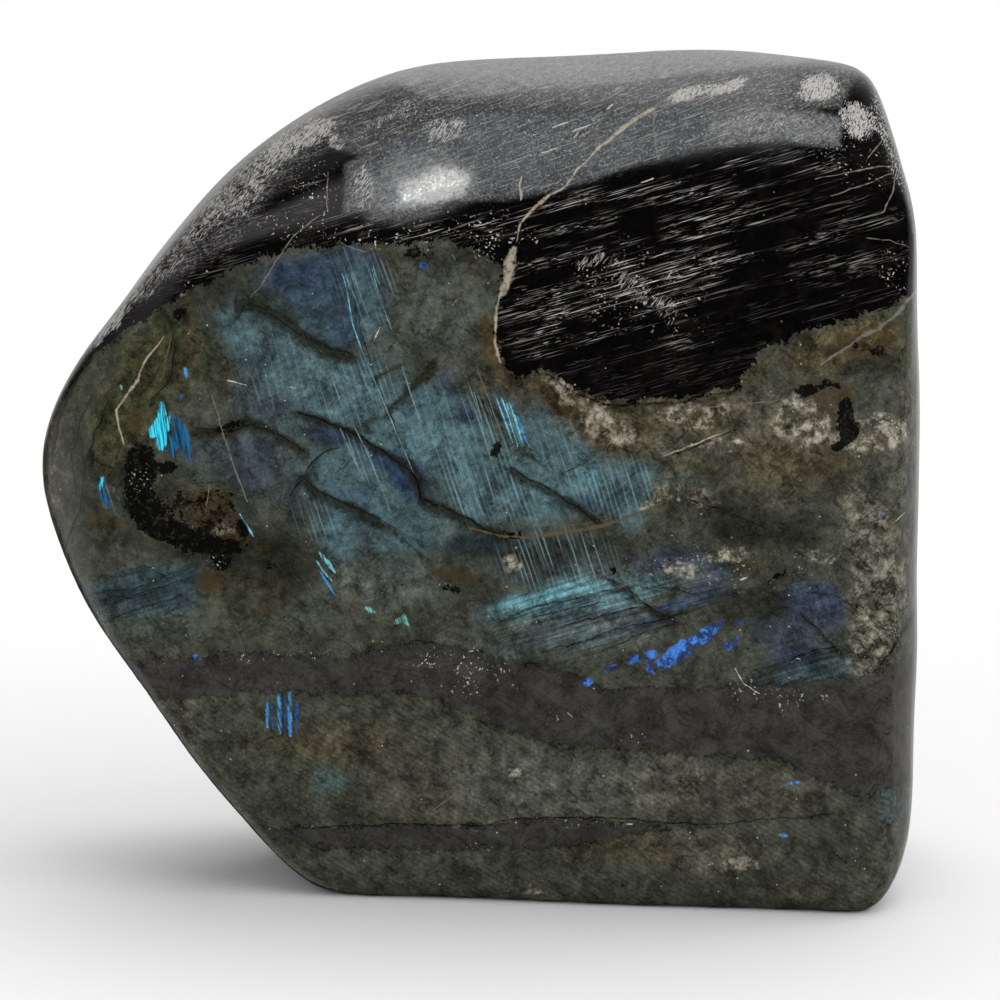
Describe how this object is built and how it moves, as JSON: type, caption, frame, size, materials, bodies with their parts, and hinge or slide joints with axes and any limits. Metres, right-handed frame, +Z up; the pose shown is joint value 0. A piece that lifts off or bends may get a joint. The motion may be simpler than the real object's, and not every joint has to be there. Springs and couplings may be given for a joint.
{
  "type": "polished labradorite freeform",
  "caption": "Solid block of polished labradorite with flat ground facets and a sawn base that it stands on; a display stone with blue flashes in a dark body.",
  "frame": {"origin": "centre of the stone's width and depth, on the plane of its sawn base", "axes": "+X along the width, to the right as seen from the front; +Y through the thickness, from the polished front face to the rounder back; +Z up"},
  "size_m": [0.1488, 0.0704, 0.1404],
  "materials": {
    "polished_labradorite": "polished"
  },
  "bodies": {
    "root": {"labradorite": "polished_labradorite"}
  },
  "joints": []
}
